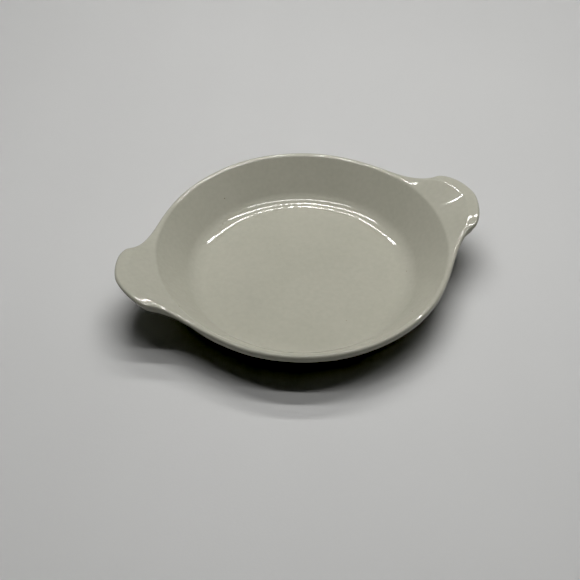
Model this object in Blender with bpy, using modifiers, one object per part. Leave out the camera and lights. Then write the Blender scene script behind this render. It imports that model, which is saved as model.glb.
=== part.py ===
"""Round-bodied baking dish with a lug handle at each end, glazed stoneware.

Metres, +Z up. Origin on the table under the middle of the dish; the two
lugs lie along X. The dish is turned about Z; each lug is a rounded tab that
meets the outside of the rim, leans upwards and thins towards its edge.
"""

import math

import bpy
import bmesh

MM = 0.001

# ---- driving dimensions, in metres -------------------------------------
GAP = 0.3 * MM            # clearance kept between neighbouring pieces
STEPS = 80                # segments round every turned piece

FOOT_HEIGHT = 0.6 * MM
FOOT_R_IN = 44.8 * MM
FOOT_R_OUT = 50.3 * MM
FOOT_EDGE = 0.2 * MM

FLOOR_THICK = 2.6 * MM
WELL_FLOOR_R = 50.8 * MM  # flat part of the inside floor
WELL_FILLET = 13.7 * MM   # inside radius between floor and wall
WALL_SLOPE = math.radians(48.0)
WALL_THICK = FLOOR_THICK
WELL_DEPTH = 19.65 * MM   # crest of the rim down to the inside floor

LIP_R = 77.2 * MM         # outside radius of the rim
LIP_INNER = 2.6 * MM      # rounding of the rim towards the well
LIP_BEAD = 1.35 * MM      # rounding of the rim's outer edge
LIP_DROP = 1.7 * MM       # crest down to the underside of the rim
COLLAR_R = 76.8 * MM      # shallow collar under the rim
COLLAR_DROP = 4.2 * MM    # crest down to the foot of the collar

LUG_TIP = 97.6 * MM       # centre of the dish to the tip of a lug
LUG_HALF_WIDTH = 21.5 * MM
LUG_END = 10.6 * MM       # depth of the lug's rounded end
LUG_POWER = 1.57          # how full that end is: 1 is a wedge, 2 an ellipse
LUG_BLEND = 15.2 * MM     # softness of the joint between lug and body outline
LUG_THICK = 4.9 * MM      # at the edge
LUG_TAPER = 0.11          # how fast it thickens towards the body
LUG_EDGE = 1.35 * MM      # rounding of the lug's edge
LUG_RISE = 7.7 * MM       # how far the edge of a lug climbs over the rim
LUG_BAND = 6.4 * MM       # nearly level band along that edge, at the tip

FLOOR_UNDER_Z = FOOT_HEIGHT + GAP
FLOOR_Z = FLOOR_UNDER_Z + FLOOR_THICK
CREST_Z = FLOOR_Z + WELL_DEPTH
# where the line of the wall reaches the height of the crest
RIM_CORNER_R = WELL_FLOOR_R + WELL_FILLET * math.tan(WALL_SLOPE / 2) + WELL_DEPTH / math.tan(WALL_SLOPE)

GLAZE = (0.56, 0.54, 0.45)
BARE_CLAY = (0.60, 0.52, 0.42)


# ---- scene --------------------------------------------------------------
for old in list(bpy.data.objects):
    bpy.data.objects.remove(old, do_unlink=True)

dish = bpy.data.collections.new("baking_dish")
cutters = bpy.data.collections.new("cutters")
bpy.context.scene.collection.children.link(dish)
bpy.context.scene.collection.children.link(cutters)


def material(name, colour, roughness):
    mat = bpy.data.materials.new(name)
    mat.use_nodes = True
    shader = mat.node_tree.nodes["Principled BSDF"]
    shader.inputs["Base Color"].default_value = (*colour, 1.0)
    shader.inputs["Roughness"].default_value = roughness
    shader.inputs["Metallic"].default_value = 0.0
    return mat


def arc(cx, cz, radius, start, end, count):
    """Points on a circle in the profile plane, from one angle to another."""
    return [
        (
            cx + radius * math.cos(start + (end - start) * i / count),
            cz + radius * math.sin(start + (end - start) * i / count),
        )
        for i in range(count + 1)
    ]


def turned(name, profile, collection, closed):
    """A profile of (radius, height) turned about Z with a Screw modifier."""
    mesh = bpy.data.meshes.new(name)
    verts = [(r, 0.0, z) for r, z in profile]
    edges = [(i, i + 1) for i in range(len(profile) - 1)]
    if closed:
        edges.append((len(profile) - 1, 0))
    mesh.from_pydata(verts, edges, [])
    obj = bpy.data.objects.new(name, mesh)
    collection.objects.link(obj)
    screw = obj.modifiers.new("turn", "SCREW")
    screw.axis = "Z"
    screw.angle = math.tau
    screw.steps = STEPS
    screw.render_steps = STEPS
    screw.use_merge_vertices = True
    screw.merge_threshold = 0.00001
    screw.use_smooth_shade = True
    return obj


# ---- profiles of the turned body ---------------------------------------
def inside_profile():
    """Middle of the inside floor, out and up the wall to the rim."""
    up = -math.pi / 2
    fillet = arc(WELL_FLOOR_R, FLOOR_Z + WELL_FILLET, WELL_FILLET, up, up + WALL_SLOPE, 9)
    return [(0.0, FLOOR_Z), (WELL_FLOOR_R * 0.5, FLOOR_Z)] + fillet


def rim_profile():
    """Over the rounded rim and down to the wall under the collar."""
    up = math.pi / 2
    inner_r = RIM_CORNER_R + LIP_INNER * math.tan(WALL_SLOPE / 2)
    over = arc(inner_r, CREST_Z - LIP_INNER, LIP_INNER, up + WALL_SLOPE, up, 5)
    over += arc(LIP_R - LIP_BEAD, CREST_Z - LIP_BEAD, LIP_BEAD, up, 0.0, 6)
    edge = 0.3 * MM
    under_z = CREST_Z - LIP_DROP
    turn_under = arc(LIP_R - edge, under_z + edge, edge, 0.0, -up, 2)
    groove = [(LIP_R - 0.8 * MM, under_z - 0.1 * MM), (LIP_R - 0.8 * MM, under_z - 0.3 * MM)]
    collar_z = CREST_Z - COLLAR_DROP
    soft = 0.4 * MM
    collar = [(COLLAR_R, under_z - 0.65 * MM)]
    collar += arc(COLLAR_R - soft, collar_z + soft, soft, 0.0, -up, 2)
    return over + turn_under + groove + collar


def outside_profile():
    """Down the outside wall to the middle of the underside."""
    down = -math.pi / 2
    radius = WELL_FILLET + WALL_THICK
    return arc(WELL_FLOOR_R, FLOOR_Z + WELL_FILLET, radius, down + WALL_SLOPE, down, 9) + [
        (FOOT_R_OUT - 5.0 * MM, FLOOR_UNDER_Z),
        (0.0, FLOOR_UNDER_Z),
    ]


def wall_under_collar():
    """The outside wall where it leaves the collar, parallel to the inside."""
    foot = outside_profile()[0]
    z = CREST_Z - COLLAR_DROP - 0.3 * MM
    return [(foot[0] + (z - foot[1]) / math.tan(WALL_SLOPE), z)]


bowl = turned(
    "bowl",
    inside_profile() + rim_profile() + wall_under_collar() + outside_profile(),
    dish,
    closed=False,
)
bowl.data.materials.append(material("bowl_glaze", GLAZE, 0.12))

foot_ring = turned(
    "foot_ring",
    [
        (FOOT_R_OUT, FOOT_HEIGHT),
        (FOOT_R_OUT, FOOT_EDGE),
        (FOOT_R_OUT - FOOT_EDGE, 0.0),
        (FOOT_R_IN + FOOT_EDGE, 0.0),
        (FOOT_R_IN, FOOT_EDGE),
        (FOOT_R_IN, FOOT_HEIGHT),
    ],
    dish,
    closed=True,
)
foot_ring.data.materials.append(material("foot_clay", BARE_CLAY, 0.8))


# ---- the body grown by the gap: what each lug is cut to ----------------
def grown(points, amount):
    """Offset a polyline that runs down the outside, away from the axis."""
    out = []
    for i, (r, z) in enumerate(points):
        normals = []
        for a, b in ((i - 1, i), (i, i + 1)):
            if a < 0 or b >= len(points):
                continue
            dr, dz = points[b][0] - points[a][0], points[b][1] - points[a][1]
            length = math.hypot(dr, dz)
            normals.append((-dz / length, dr / length))
        nr = sum(n[0] for n in normals) / len(normals)
        nz = sum(n[1] for n in normals) / len(normals)
        scale = amount / max(nr * nr + nz * nz, 0.4)
        out.append((r + nr * scale, z + nz * scale))
    return out


side = [(LIP_R, CREST_Z + 20 * MM)]
side += [p for p in rim_profile() if p[1] <= CREST_Z - LIP_BEAD + 1e-6 and p[0] > COLLAR_R - 1e-6]
side += [(COLLAR_R, CREST_Z - 20 * MM)]
outer = grown(side, GAP)
body_cutter = turned(
    "body_cutter",
    [(0.0, CREST_Z + 20 * MM)] + outer + [(0.0, outer[-1][1])],
    cutters,
    closed=False,
)
body_cutter.hide_render = True
body_cutter.display_type = "WIRE"


# ---- outline of the lug, in plan ---------------------------------------
def outline_level(x, y):
    """Below 0 inside the round body softly merged with a round-ended tab."""
    body = math.hypot(x, y) - LIP_R
    u = max(x - (LUG_TIP - LUG_END), 0.0) / LUG_END
    v = abs(y) / LUG_HALF_WIDTH
    tab = ((u**LUG_POWER + v**LUG_POWER) ** (1 / LUG_POWER) - 1) * LUG_END
    soft = max(LUG_BLEND - abs(body - tab), 0.0) / LUG_BLEND
    return min(body, tab) - soft * soft * LUG_BLEND / 4


def outline_radius(angle):
    """Radius of the merged outline in one direction."""
    low, high = LIP_R * 0.9, LUG_TIP * 1.2
    for _ in range(50):
        middle = (low + high) / 2
        if outline_level(middle * math.cos(angle), middle * math.sin(angle)) > 0.0:
            high = middle
        else:
            low = middle
    return low


def outline_point(angle, inset):
    """Point of the outline, moved inwards square to it."""
    near = [
        (outline_radius(angle + step) * math.cos(angle + step),
         outline_radius(angle + step) * math.sin(angle + step))
        for step in (-0.004, 0.0, 0.004)
    ]
    dx, dy = near[2][0] - near[0][0], near[2][1] - near[0][1]
    length = math.hypot(dx, dy)
    return near[1][0] - dy / length * inset, near[1][1] + dx / length * inset


def lug_outline():
    """Closed outline of one lug in plan, before its edge is rounded."""
    last = 0.0
    while outline_radius(last) > LIP_R + 1.1 * MM:
        last += 0.002
    count = 56
    points = [outline_point(-last + 2 * last * i / count, LUG_EDGE) for i in range(count + 1)]
    root = 66.0 * MM
    points.append((root * math.cos(last), root * math.sin(last)))
    points.append((root * math.cos(last), -root * math.sin(last)))
    return points


def ease(t):
    t = min(max(t, 0.0), 1.0)
    return t * t * (3.0 - 2.0 * t)


def lug_lift(x, y):
    """Height of a lug's top over the rim's crest: up from the well, then level."""
    radius, angle = math.hypot(x, y), math.atan2(y, x)
    edge_r = outline_radius(angle)
    rim = 0.61 * MM * ease((RIM_CORNER_R * math.cos(angle) - 47.2 * MM) / (22.8 * MM))
    edge_x = (edge_r - LUG_EDGE) * math.cos(angle)
    edge = 0.61 * MM + LUG_RISE * ease((edge_x - 65.4 * MM) / (33.5 * MM))
    start = rim + 0.25 * MM * ease((edge_r - LIP_R) / (7.0 * MM))
    start_r = RIM_CORNER_R + start / math.tan(WALL_SLOPE)
    widen = ease((edge_r - LIP_R) / (19.0 * MM)) ** 1.5
    band = 1.4 * MM + (LUG_BAND - 1.4 * MM) * widen
    turn_r, turn = edge_r - band, edge - 0.16 * (band - 1.4 * MM)
    if radius < turn_r:
        return start + (turn - start) * max(radius - start_r, 0.0) / (turn_r - start_r)
    return turn + (edge - turn) * min((radius - turn_r) / band, 1.0)


def lug_mesh():
    """The tab as a mesh: outline, thickness, rounded edge, then the climb."""
    curve = bpy.data.curves.new("lug_outline", "CURVE")
    curve.dimensions = "2D"
    curve.fill_mode = "BOTH"
    curve.extrude = LUG_THICK / 2 - LUG_EDGE
    curve.bevel_depth = LUG_EDGE
    curve.bevel_resolution = 3
    spline = curve.splines.new("POLY")
    points = lug_outline()
    spline.points.add(len(points) - 1)
    for point, (x, y) in zip(spline.points, points):
        point.co = (x, y, 0.0, 1.0)
    spline.use_cyclic_u = True
    flat = bpy.data.objects.new("lug_flat", curve)
    dish.objects.link(flat)
    bpy.context.view_layer.update()
    graph = bpy.context.evaluated_depsgraph_get()
    mesh = bpy.data.meshes.new_from_object(flat.evaluated_get(graph))
    bpy.data.objects.remove(flat, do_unlink=True)
    work = bmesh.new()
    work.from_mesh(mesh)
    bmesh.ops.remove_doubles(work, verts=work.verts, dist=0.00001)
    # cuts along and across, so that the flat tab can bend
    for axis, places in (((1, 0, 0), range(72, 96, 3)), ((0, 1, 0), range(-30, 31, 6))):
        for place in places:
            point = tuple(place * MM * part for part in axis)
            geometry = work.verts[:] + work.edges[:] + work.faces[:]
            bmesh.ops.bisect_plane(work, geom=geometry, dist=0.000001, plane_co=point, plane_no=axis)
    for vertex in work.verts:
        depth = max(-vertex.co.z, 0.0) / (LUG_THICK / 2)
        reach = min(max(LUG_TIP - vertex.co.x, 0.0), LUG_TIP - LIP_R)
        vertex.co.z += CREST_Z - LUG_THICK / 2 + lug_lift(vertex.co.x, vertex.co.y)
        vertex.co.z -= LUG_TAPER * reach * depth
    bmesh.ops.triangulate(work, faces=work.faces[:])
    bmesh.ops.recalc_face_normals(work, faces=work.faces)
    work.to_mesh(mesh)
    work.free()
    mesh.name = "lug"
    return mesh


lug = lug_mesh()
lug.shade_smooth()
lug.set_sharp_from_angle(angle=math.radians(40))
lug.materials.clear()
lug.materials.append(material("lug_glaze", GLAZE, 0.12))
for name, turn in (("handle_right", 0.0), ("handle_left", math.pi)):
    handle = bpy.data.objects.new(name, lug)
    dish.objects.link(handle)
    handle.rotation_euler = (0.0, 0.0, turn)
    cut = handle.modifiers.new("fit_to_body", "BOOLEAN")
    cut.operation = "DIFFERENCE"
    cut.solver = "EXACT"
    cut.object = body_cutter

# ---- one empty carries the pieces --------------------------------------
origin = bpy.data.objects.new("dish_origin", None)
dish.objects.link(origin)
for piece in dish.objects:
    if piece is not origin:
        piece.parent = origin
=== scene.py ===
"""Looks of the lug-handled baking dish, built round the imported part.

The body and its two lugs are one continuous glazed skin, swept round the
dish: a section is drawn for every direction, as a path with rounded
corners, and it changes from rim to lug and back. The bare foot ring is a
piece of its own. Lengths are in millimetres until the mesh is written.
"""

import math

import bpy
import numpy as np
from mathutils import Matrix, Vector


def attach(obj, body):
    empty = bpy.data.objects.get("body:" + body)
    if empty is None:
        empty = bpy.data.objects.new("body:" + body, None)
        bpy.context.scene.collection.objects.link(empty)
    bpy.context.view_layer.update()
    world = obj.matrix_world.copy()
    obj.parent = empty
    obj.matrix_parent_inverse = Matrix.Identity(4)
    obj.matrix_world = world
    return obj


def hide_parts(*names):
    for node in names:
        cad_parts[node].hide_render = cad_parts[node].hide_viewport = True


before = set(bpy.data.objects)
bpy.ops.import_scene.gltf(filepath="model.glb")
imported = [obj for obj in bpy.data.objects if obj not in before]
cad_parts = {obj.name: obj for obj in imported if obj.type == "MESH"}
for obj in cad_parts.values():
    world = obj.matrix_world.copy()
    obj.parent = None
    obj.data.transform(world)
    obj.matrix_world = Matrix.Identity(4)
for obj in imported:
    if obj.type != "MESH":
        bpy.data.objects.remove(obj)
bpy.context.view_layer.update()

# ---- driving dimensions, in mm, as in the part --------------------------
FLOOR_Z = 3.5            # inside floor above the table
FLOOR_UNDER_Z = 0.9      # underside of the floor
FLOOR_R = 50.8           # flat part of the inside floor
FILLET = 13.7            # inside radius between floor and wall
SLOPE = math.radians(48.0)
WALL = 2.6
CREST_Z = 23.15
LIP_R = 77.2
BEAD = 1.15
LIP_DROP = 1.7           # crest down to the underside of the lip
GROOVE = 0.8             # how far the groove under the lip goes in
COLLAR_R = 76.8
COLLAR_DROP = 4.2        # crest down to the foot of the collar

LUG_TIP = 97.6
LUG_HALF_WIDTH = 21.5
LUG_END = 10.6
LUG_POWER = 1.57
LUG_BLEND = 15.2
LUG_THICK = 4.9
LUG_BAND = 6.4           # nearly level band along the edge of a lug, at its tip

FOOT_R_OUT = 50.3
FOOT_R_IN = 44.8

TURN = math.radians(19.458)   # the dish's turn on the table, seen by the camera


# ---- small helpers ------------------------------------------------------
def smooth(t):
    t = np.clip(t, 0.0, 1.0)
    return t * t * (3.0 - 2.0 * t)


def waves(points, size, seed, count=28):
    """Smooth, seeded random field of about unit height over points (n, 3)."""
    rng = np.random.RandomState(seed)
    total = np.zeros(len(points))
    for _ in range(count):
        way = rng.normal(size=3)
        way /= np.linalg.norm(way)
        pitch = size * rng.uniform(0.7, 1.5)
        total += np.cos(points @ way * (2.0 * math.pi / pitch) + rng.uniform(0, 2 * math.pi))
    return total * math.sqrt(2.0 / count)


# ---- outline of the dish in plan ----------------------------------------
def outline_distance(x, y):
    body = np.hypot(x, y) - LIP_R
    u = np.maximum(np.abs(x) - (LUG_TIP - LUG_END), 0.0) / LUG_END
    v = np.abs(y) / LUG_HALF_WIDTH
    tab = ((u**LUG_POWER + v**LUG_POWER) ** (1 / LUG_POWER) - 1) * LUG_END
    soft = np.maximum(LUG_BLEND - np.abs(body - tab), 0) / LUG_BLEND
    return np.minimum(body, tab) - soft * soft * LUG_BLEND / 4


def outline_radius(angles):
    low = np.full(angles.shape, LIP_R * 0.9)
    high = np.full(angles.shape, LUG_TIP * 1.2)
    cx, cy = np.abs(np.cos(angles)), np.sin(angles)
    for _ in range(44):
        mid = (low + high) / 2
        outside = outline_distance(mid * cx, mid * cy) > 0
        high = np.where(outside, mid, high)
        low = np.where(outside, low, mid)
    return low


def lug_rise(x):
    """Height of the outline's crest over the plain rim's, at distance x along the lugs."""
    x = np.abs(x)
    return 0.61 * smooth((x - 47.2) / 22.8) + 7.7 * smooth((x - 65.4) / 33.5)


def rim_lift(x):
    return 0.61 * smooth((np.abs(x) - 47.2) / 22.8)


# ---- section paths with rounded corners ---------------------------------
def rounded_path(corners, radii, arcs, runs):
    """corners (n, k, 2); radii (n, k); arcs[k] and runs[k] say how finely.

    Returns (n, m, 2) points and, for each of the m, which corner it is near.
    """
    n, k, _ = corners.shape
    step = corners[:, 1:] - corners[:, :-1]
    length = np.maximum(np.linalg.norm(step, axis=2), 1e-9)
    way = step / length[..., None]
    start = [corners[:, 0]]
    end = [corners[:, 0]]
    arc_points = [corners[:, :1]]
    cut = np.zeros((n, k))
    turn = np.zeros((n, k))
    for i in range(1, k - 1):
        a, b = way[:, i - 1], way[:, i]
        turn[:, i] = np.arctan2(a[:, 0] * b[:, 1] - a[:, 1] * b[:, 0], (a * b).sum(1))
        cut[:, i] = radii[:, i] * np.abs(np.tan(turn[:, i] / 2))
    for i in range(1, k - 1):
        before = length[:, i - 1] / np.maximum(cut[:, i] + cut[:, i - 1], 1e-9)
        after = length[:, i] / np.maximum(cut[:, i] + cut[:, i + 1], 1e-9)
        share = np.minimum(1.0, np.minimum(before, after))
        t = cut[:, i] * share
        rho = radii[:, i] * share
        a = way[:, i - 1]
        side = np.stack([-a[:, 1], a[:, 0]], 1) * np.sign(turn[:, i])[:, None]
        s = corners[:, i] - a * t[:, None]
        psi = np.abs(turn[:, i])[:, None] * np.linspace(0, 1, arcs[i] + 1)[None]
        pts = (
            s[:, None]
            + (rho[:, None] * np.sin(psi))[..., None] * a[:, None]
            + (rho[:, None] * (1 - np.cos(psi)))[..., None] * side[:, None]
        )
        arc_points.append(pts)
        start.append(s)
        end.append(pts[:, -1])
    start.append(corners[:, -1])
    end.append(corners[:, -1])
    arc_points.append(corners[:, -1:])
    path, near = [], []
    for i in range(k):
        path.append(arc_points[i])
        near += [i] * arc_points[i].shape[1]
        if i < k - 1:
            f = np.linspace(0, 1, runs[i] + 1)[1:-1]
            if len(f):
                a, b = end[i], start[i + 1]
                path.append(a[:, None] * (1 - f)[None, :, None] + b[:, None] * f[None, :, None])
                near += [i + 0.5] * len(f)
    return np.concatenate(path, 1), np.array(near)


def directions():
    """Angles round the dish, closer together on the lugs."""
    out, a = [], -math.pi
    fine = math.radians(0.42)
    coarse = math.radians(0.95)
    edges = []
    for lo, hi, step in (
        (-180, -150, fine),
        (-150, -30, coarse),
        (-30, 30, fine),
        (30, 150, coarse),
        (150, 180, fine),
    ):
        n = int(round(math.radians(hi - lo) / step))
        edges += list(np.radians(lo) + math.radians(hi - lo) * np.arange(n) / n)
    return np.array(edges)


theta = directions()
R = outline_radius(theta)
cos_t, sin_t = np.cos(theta), np.sin(theta)
lug = smooth((R - LIP_R - 0.15) / 7.0)      # 0 on the plain rim, 1 on a lug


def mix(a, b, w):
    return a * (1 - w) + b * w


def column(r, z):
    return np.stack([np.broadcast_to(r, theta.shape), np.broadcast_to(z, theta.shape)], 1)


wall_up = math.tan(SLOPE)
fillet_corner = FLOOR_R + FILLET * math.tan(SLOPE / 2)
# the wall's line, from the fillet's corner up
def wall_r(z):
    return fillet_corner + (z - FLOOR_Z) / wall_up


def wall_out_r(z):
    return wall_r(z) + WALL / math.sin(SLOPE)


edge_z = CREST_Z + lug_rise((R - BEAD) * cos_t)
crease_z = CREST_Z + rim_lift(wall_r(CREST_Z) * cos_t) + 0.25 * lug
crease_r = wall_r(crease_z)
# a lug climbs from the crease and levels out along its edge
band = mix(1.4, LUG_BAND, smooth((R - LIP_R) / 19.0) ** 1.5)
shoulder_r = R - band
shoulder_z = edge_z - 0.16 * (band - 1.4) - 0.02

lip_r = R
lip_z = edge_z - LIP_DROP
step_r = mix(COLLAR_R, R - 0.9, lug)
step_z = lip_z - 0.65
under_r = mix(COLLAR_R, R - 1.7, lug)
under_z = mix(CREST_Z - COLLAR_DROP, edge_z - LUG_THICK, lug)
root_z = mix(CREST_Z - COLLAR_DROP - 0.1, CREST_Z - 5.1, lug)
root_r = wall_out_r(root_z)

outer_fillet_corner = FLOOR_R + (FILLET + WALL) * math.tan(SLOPE / 2)

corners = np.stack(
    [
        column(0.0, FLOOR_Z),
        column(fillet_corner, FLOOR_Z),
        column(crease_r, crease_z),
        column(shoulder_r, shoulder_z),
        column(R, edge_z),
        column(lip_r, lip_z),
        column(R - GROOVE, lip_z - 0.25),
        column(step_r, step_z),
        column(under_r, under_z),
        column(root_r, root_z),
        column(outer_fillet_corner, FLOOR_UNDER_Z),
        column(FOOT_R_OUT + 0.15, FLOOR_UNDER_Z),
        column(FOOT_R_OUT - 0.6, FLOOR_UNDER_Z - 0.25),
        column(FOOT_R_IN - 0.4, FLOOR_UNDER_Z - 0.1),
        column(0.0, FLOOR_UNDER_Z),
    ],
    1,
)
flat = np.zeros(theta.shape)
radii = np.stack(
    [
        flat,
        flat + FILLET,
        mix(2.6 + flat, 4.0, lug),
        mix(2.0 + flat, 4.5, lug),
        flat + 1.35,
        flat + 0.3,
        flat + 0.15,
        flat + 0.2,
        mix(0.5 + flat, 0.9, lug),
        mix(0.3 + flat, 4.0, lug),
        flat + FILLET + WALL,
        flat + 0.3,
        flat + 0.2,
        flat + 0.5,
        flat,
    ],
    1,
)
arcs = [0, 14, 9, 8, 8, 3, 2, 2, 4, 6, 12, 2, 1, 2, 0]
runs = [14, 10, 20, 6, 3, 1, 1, 3, 8, 6, 3, 1, 2, 8]
path, near = rounded_path(corners, radii, arcs, runs)


def spaced(lines, least):
    """Slide points along each section so that none coincide where two roundings meet."""
    out = np.empty_like(lines)
    for i, line in enumerate(lines):
        step = np.linalg.norm(np.diff(line, axis=0), axis=1)
        now = np.concatenate([[0.0], np.cumsum(step)])
        want = np.concatenate([[0.0], np.cumsum(np.maximum(step, least))])
        want *= now[-1] / want[-1]
        out[i, :, 0] = np.interp(want, now, line[:, 0])
        out[i, :, 1] = np.interp(want, now, line[:, 1])
    return out


path = spaced(path, 0.015)
rings = path.shape[1]

r, z = path[..., 0], path[..., 1]
points = np.stack([r * cos_t[:, None], r * sin_t[:, None], z], 2)   # (n, rings, 3)
n_cols = len(theta)


# ---- mesh writing -------------------------------------------------------
def grid_normals(pts):
    """Normals of the swept grid, out of the clay."""
    d_round = np.roll(pts, -1, 0) - np.roll(pts, 1, 0)
    d_along = np.empty_like(pts)
    d_along[:, 1:-1] = pts[:, 2:] - pts[:, :-2]
    d_along[:, 0] = pts[:, 1] - pts[:, 0]
    d_along[:, -1] = pts[:, -1] - pts[:, -2]
    n = np.cross(d_along, d_round)
    size = np.linalg.norm(n, axis=2, keepdims=True)
    n = np.where(size > 1e-9, n / np.maximum(size, 1e-9), 0)
    n[:, 0] = (0, 0, 1)
    n[:, -1] = (0, 0, -1)
    return n


def swept_mesh(name, pts, closed_section=False, poles=True):
    """Quads over a grid of (directions, rings), with one point at each pole."""
    n, m, _ = pts.shape
    if poles:
        verts = np.concatenate([pts[:1, 0], pts[:, 1:-1].reshape(-1, 3), pts[:1, -1]])
        inner = m - 2

        def at(i, j):
            return 1 + (i % n) * inner + (j - 1)

        faces = []
        for i in range(n):
            faces.append((0, at(i, 1), at(i + 1, 1)))
        i = np.arange(n)[:, None]
        j = np.arange(1, m - 2)[None]
        a = 1 + i * inner + (j - 1)
        b = 1 + ((i + 1) % n) * inner + (j - 1)
        quads = np.stack([a, a + 1, b + 1, b], 2).reshape(-1, 4)
        last = len(verts) - 1
        tail = [(at(i, m - 2), last, at(i + 1, m - 2)) for i in range(n)]
        all_faces = faces + [tuple(q) for q in quads.tolist()] + tail
    else:
        verts = pts.reshape(-1, 3)
        i = np.arange(n)[:, None]
        j = np.arange(m if closed_section else m - 1)[None]
        a = i * m + j
        a2 = i * m + (j + 1) % m
        b = ((i + 1) % n) * m + j
        b2 = ((i + 1) % n) * m + (j + 1) % m
        all_faces = [tuple(q) for q in np.stack([a, a2, b2, b], 2).reshape(-1, 4).tolist()]
    mesh = bpy.data.meshes.new(name)
    mesh.from_pydata((verts * 0.001).tolist(), [], all_faces)
    mesh.validate(clean_customdata=False)
    mesh.update()
    mesh.shade_smooth()
    obj = bpy.data.objects.new(name, mesh)
    bpy.context.scene.collection.objects.link(obj)
    return obj


normals = grid_normals(points)

# the hand of the maker: slow unevenness, a little on the rim, none under the foot
flat_points = points.reshape(-1, 3)
slow = waves(flat_points, 46.0, 3).reshape(n_cols, rings)
middle = waves(flat_points, 17.0, 5).reshape(n_cols, rings)
hold = smooth((z - 2.2) / 2.5)
hold = np.where(near[None] < 1.5, 1.0, hold)
amount = (0.055 * slow + 0.022 * middle) * hold
points = points + normals * amount[..., None]

body = swept_mesh("glazed_dish", points)


# ---- the foot ring ------------------------------------------------------
def foot_section():
    out = []
    edge = 0.35
    zt = FLOOR_UNDER_Z + 0.1
    for cx, cz, a0, a1 in (
        (FOOT_R_OUT - edge, edge, 0.0, -90.0),
        (FOOT_R_IN + edge, edge, -90.0, -180.0),
    ):
        if cx > 48:
            out.append((FOOT_R_OUT, zt))
        for a in np.linspace(a0, a1, 6):
            out.append((cx + edge * math.cos(math.radians(a)), cz + edge * math.sin(math.radians(a))))
    out.append((FOOT_R_IN, zt))
    return np.array(out)


ring_angles = np.linspace(0, 2 * math.pi, 361)[:-1]
section = foot_section()
ring = np.stack(
    [
        section[None, :, 0] * np.cos(ring_angles)[:, None],
        section[None, :, 0] * np.sin(ring_angles)[:, None],
        np.broadcast_to(section[None, :, 1], (360, len(section))),
    ],
    2,
)
foot = swept_mesh("bare_foot_ring", ring, closed_section=True, poles=False)


# ---- materials ----------------------------------------------------------
def new_material(name):
    mat = bpy.data.materials.new(name)
    mat.use_nodes = True
    nodes = mat.node_tree.nodes
    nodes.clear()
    out = nodes.new("ShaderNodeOutputMaterial")
    shader = nodes.new("ShaderNodeBsdfPrincipled")
    mat.node_tree.links.new(shader.outputs["BSDF"], out.inputs["Surface"])
    return mat, nodes, mat.node_tree.links, shader


def noise(nodes, links, vector, scale, detail, rough=0.5):
    n = nodes.new("ShaderNodeTexNoise")
    n.inputs["Scale"].default_value = scale
    n.inputs["Detail"].default_value = detail
    n.inputs["Roughness"].default_value = rough
    links.new(vector, n.inputs["Vector"])
    return n.outputs["Fac"]


def ramp(nodes, links, fac, stops):
    node = nodes.new("ShaderNodeValToRGB")
    elements = node.color_ramp.elements
    while len(elements) > 1:
        elements.remove(elements[-1])
    elements[0].position = stops[0][0]
    elements[0].color = (*stops[0][1], 1) if len(stops[0][1]) == 3 else stops[0][1]
    for pos, col in stops[1:]:
        e = elements.new(pos)
        e.color = (*col, 1)
    links.new(fac, node.inputs["Fac"])
    return node.outputs["Color"]


def grey(x):
    return (x, x, x)


def mix_colour(nodes, links, fac, a, b, kind="MIX"):
    node = nodes.new("ShaderNodeMix")
    node.data_type = "RGBA"
    node.blend_type = kind
    for value, socket in ((fac, node.inputs["Factor"]), (a, node.inputs["A"]), (b, node.inputs["B"])):
        pass
    ins = [s for s in node.inputs if s.enabled]
    for value, socket in zip((fac, a, b), ins):
        if isinstance(value, (int, float)):
            socket.default_value = value
        elif isinstance(value, tuple):
            socket.default_value = (*value, 1.0)
        else:
            links.new(value, socket)
    return [s for s in node.outputs if s.enabled][0]


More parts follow.
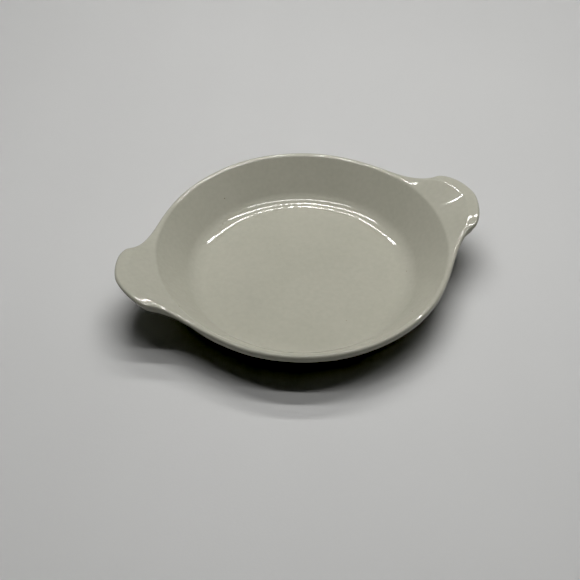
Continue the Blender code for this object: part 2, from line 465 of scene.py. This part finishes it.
def glaze_material():
    mat, nodes, links, shader = new_material("warm_grey_glaze")
    place = nodes.new("ShaderNodeTexCoord").outputs["Object"]
    broad = noise(nodes, links, place, 22.0, 2.0)
    tone = ramp(
        nodes,
        links,
        broad,
        [(0.35, (0.440, 0.433, 0.371)), (0.65, (0.458, 0.449, 0.387))],
    )
    fine = noise(nodes, links, place, 420.0, 3.0)
    mottle = ramp(nodes, links, fine, [(0.3, grey(0.965)), (0.7, grey(1.02))])
    colour = mix_colour(nodes, links, 1.0, tone, mottle, "MULTIPLY")
    # iron specks, few and small
    specks = nodes.new("ShaderNodeTexVoronoi")
    specks.inputs["Scale"].default_value = 210.0
    links.new(place, specks.inputs["Vector"])
    dots = ramp(nodes, links, specks.outputs["Distance"], [(0.0, grey(1.0)), (0.055, grey(1.0)), (0.085, grey(0.0))])
    pick = nodes.new("ShaderNodeSeparateColor")
    links.new(specks.outputs["Color"], pick.inputs["Color"])
    chosen = ramp(nodes, links, pick.outputs["Red"], [(0.0, grey(0.0)), (0.93, grey(0.0)), (0.94, grey(1.0))])
    speck = mix_colour(nodes, links, 1.0, dots, chosen, "MULTIPLY")
    colour = mix_colour(nodes, links, speck, colour, (0.23, 0.20, 0.15))
    links.new(colour, shader.inputs["Base Color"])
    rough = ramp(nodes, links, broad, [(0.3, grey(0.025)), (0.7, grey(0.045))])
    links.new(rough, shader.inputs["Roughness"])
    shader.inputs["IOR"].default_value = 1.5
    # orange peel, and pinholes in the glaze
    peel = noise(nodes, links, place, 260.0, 1.5)
    bump = nodes.new("ShaderNodeBump")
    bump.inputs["Strength"].default_value = 0.012
    bump.inputs["Distance"].default_value = 0.0005
    links.new(peel, bump.inputs["Height"])
    holes = nodes.new("ShaderNodeTexVoronoi")
    holes.inputs["Scale"].default_value = 170.0
    links.new(place, holes.inputs["Vector"])
    pit = ramp(nodes, links, holes.outputs["Distance"], [(0.0, grey(0.0)), (0.06, grey(0.35)), (0.1, grey(1.0))])
    pick2 = nodes.new("ShaderNodeSeparateColor")
    links.new(holes.outputs["Color"], pick2.inputs["Color"])
    chosen2 = ramp(nodes, links, pick2.outputs["Green"], [(0.0, grey(1.0)), (0.07, grey(1.0)), (0.08, grey(0.0))])
    pits = mix_colour(nodes, links, chosen2, grey(1.0), pit)
    bump2 = nodes.new("ShaderNodeBump")
    bump2.inputs["Strength"].default_value = 0.35
    bump2.inputs["Distance"].default_value = 0.0006
    links.new(pits, bump2.inputs["Height"])
    links.new(bump.outputs["Normal"], bump2.inputs["Normal"])
    links.new(bump2.outputs["Normal"], shader.inputs["Normal"])
    return mat


def clay_material():
    mat, nodes, links, shader = new_material("bare_fired_clay")
    place = nodes.new("ShaderNodeTexCoord").outputs["Object"]
    broad = noise(nodes, links, place, 30.0, 4.0)
    tone = ramp(nodes, links, broad, [(0.3, (0.52, 0.43, 0.33)), (0.7, (0.66, 0.58, 0.48))])
    grain = noise(nodes, links, place, 1600.0, 2.0)
    shade = ramp(nodes, links, grain, [(0.3, grey(0.86)), (0.6, grey(1.0))])
    links.new(mix_colour(nodes, links, 1.0, tone, shade, "MULTIPLY"), shader.inputs["Base Color"])
    links.new(ramp(nodes, links, grain, [(0.2, grey(0.72)), (0.8, grey(0.9))]), shader.inputs["Roughness"])
    bump = nodes.new("ShaderNodeBump")
    bump.inputs["Strength"].default_value = 0.4
    bump.inputs["Distance"].default_value = 0.0003
    links.new(grain, bump.inputs["Height"])
    links.new(bump.outputs["Normal"], shader.inputs["Normal"])
    return mat


def paper_material():
    mat, nodes, links, shader = new_material("pale_table")
    place = nodes.new("ShaderNodeTexCoord").outputs["Object"]
    broad = noise(nodes, links, place, 6.0, 2.0)
    tone = ramp(nodes, links, broad, [(0.3, (0.568, 0.568, 0.572)), (0.7, (0.584, 0.584, 0.588))])
    # painted light and shade: the table's colour is lighter near the camera and darker towards its far end, evening
    # out how the lamps' light falls off across it
    away = nodes.new("ShaderNodeVectorMath")
    away.operation = "DOT_PRODUCT"
    away.inputs[1].default_value = (math.sin(TURN), math.cos(TURN), 0.0)
    links.new(place, away.inputs[0])
    span = nodes.new("ShaderNodeMapRange")
    span.inputs["From Min"].default_value = -0.20
    span.inputs["From Max"].default_value = 0.28
    links.new(away.outputs["Value"], span.inputs["Value"])
    painted_falloff = ramp(nodes, links, span.outputs["Result"], [(0.0, grey(1.07)), (0.42, grey(0.98)), (0.75, grey(0.90)), (1.0, grey(0.855))])
    links.new(mix_colour(nodes, links, 1.0, tone, painted_falloff, "MULTIPLY"), shader.inputs["Base Color"])
    shader.inputs["Roughness"].default_value = 0.62
    shader.inputs["Specular IOR Level"].default_value = 0.5
    fine = noise(nodes, links, place, 900.0, 2.0)
    bump = nodes.new("ShaderNodeBump")
    bump.inputs["Strength"].default_value = 0.15
    bump.inputs["Distance"].default_value = 0.0002
    links.new(fine, bump.inputs["Height"])
    links.new(bump.outputs["Normal"], shader.inputs["Normal"])
    return mat


body.data.materials.append(glaze_material())
foot.data.materials.append(clay_material())

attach(body, "root")
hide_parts("bowl", "handle_right", "handle_left")
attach(foot, "root")
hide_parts("foot_ring")

# ---- table --------------------------------------------------------------
bpy.ops.mesh.primitive_grid_add(x_subdivisions=8, y_subdivisions=8, size=3.0, location=(0, 0, 0))
table = bpy.context.object
table.name = "pale_table_top"
table.data.materials.append(paper_material())

# ---- camera -------------------------------------------------------------
UNIT = 0.0761
CAM = dict(f=1081.2, e=45.275, D=7.060, tx=0.0832, ty=0.4150)
RIM_Z = (CREST_Z - BEAD) * 0.001
turn = TURN
tilt = math.radians(CAM["e"])


def to_dish(x, y, z):
    """From the camera's own ground directions, x right and y away, to the dish's frame."""
    return Vector((math.cos(turn) * x + math.sin(turn) * y, -math.sin(turn) * x + math.cos(turn) * y, z))


eye = to_dish(
    -CAM["tx"] * UNIT,
    (-CAM["D"] * math.cos(tilt) - CAM["ty"]) * UNIT,
    CAM["D"] * math.sin(tilt) * UNIT + RIM_Z,
)
look = to_dish(0.0, math.cos(tilt), -math.sin(tilt))
cam_data = bpy.data.cameras.new("camera")
cam = bpy.data.objects.new("camera", cam_data)
bpy.context.scene.collection.objects.link(cam)
cam.location = eye
cam.rotation_mode = "QUATERNION"
cam.rotation_quaternion = look.to_track_quat("-Z", "Y")
cam_data.sensor_width = 36.0
cam_data.lens = CAM["f"] / 580.0 * 36.0
cam_data.clip_start = 0.01
cam_data.clip_end = 20.0
bpy.context.scene.camera = cam

# ---- light --------------------------------------------------------------
HEIGHT = 9.8 * UNIT          # three rows of lamps over the rim's plane
ROWS = (                      # distance beyond the dish, share of the light, how much of the row is lamp
    (0.722, 0.50, 0.42),
    (0.345, 0.45, 0.60),
    (-0.010, 0.25, 0.85),
)
SPAN = (-0.395, 0.515)
YAW = -0.054
LAMPS = 36
POWER = 6.65


def lamp_row(name, y, share, lit):
    """One row as a narrow area light whose strength comes and goes along it."""
    length = (SPAN[1] - SPAN[0]) * HEIGHT
    middle_x = (SPAN[1] + SPAN[0]) / 2 * HEIGHT
    data = bpy.data.lights.new(name, "AREA")
    data.shape = "RECTANGLE"
    data.size = length
    data.size_y = 0.036
    data.energy = POWER * share
    data.color = (1.0, 0.995, 0.968)
    data.use_nodes = True
    nodes, links = data.node_tree.nodes, data.node_tree.links
    emission = nodes["Emission"]
    along = nodes.new("ShaderNodeSeparateXYZ")
    links.new(nodes.new("ShaderNodeNewGeometry").outputs["Parametric"], along.inputs["Vector"])
    count = nodes.new("ShaderNodeMath")
    count.operation = "MULTIPLY"
    count.inputs[1].default_value = LAMPS
    links.new(along.outputs["X"], count.inputs[0])
    part = nodes.new("ShaderNodeMath")
    part.operation = "FRACT"
    links.new(count.outputs[0], part.inputs[0])
    on = nodes.new("ShaderNodeMath")
    on.operation = "LESS_THAN"
    on.inputs[1].default_value = lit
    links.new(part.outputs[0], on.inputs[0])
    strength = nodes.new("ShaderNodeMath")
    strength.operation = "DIVIDE"
    strength.inputs[1].default_value = lit
    links.new(on.outputs[0], strength.inputs[0])
    links.new(strength.outputs[0], emission.inputs["Strength"])
    obj = bpy.data.objects.new(name, data)
    bpy.context.scene.collection.objects.link(obj)
    obj.location = to_dish(middle_x, y * HEIGHT + middle_x * math.tan(YAW), HEIGHT + RIM_Z)
    obj.rotation_euler = (0.0, 0.0, -turn + YAW)
    return obj


for i, (y, share, lit) in enumerate(ROWS):
    lamp_row(f"lamp_row_{i}", y, share, lit)

world = bpy.data.worlds.new("room")
bpy.context.scene.world = world
world.use_nodes = True
world.node_tree.nodes["Background"].inputs["Color"].default_value = (0.9, 0.95, 1.0, 1.0)
world.node_tree.nodes["Background"].inputs["Strength"].default_value = 0.05

scene = bpy.context.scene
scene.view_settings.view_transform = "Standard"
scene.view_settings.look = "None"
scene.view_settings.exposure = 0.0
scene.view_settings.gamma = 1.0
scene.view_settings.use_curve_mapping = True
scene.view_settings.curve_mapping.black_level = (0.028, 0.028, 0.028)

bpy.context.view_layer.update()
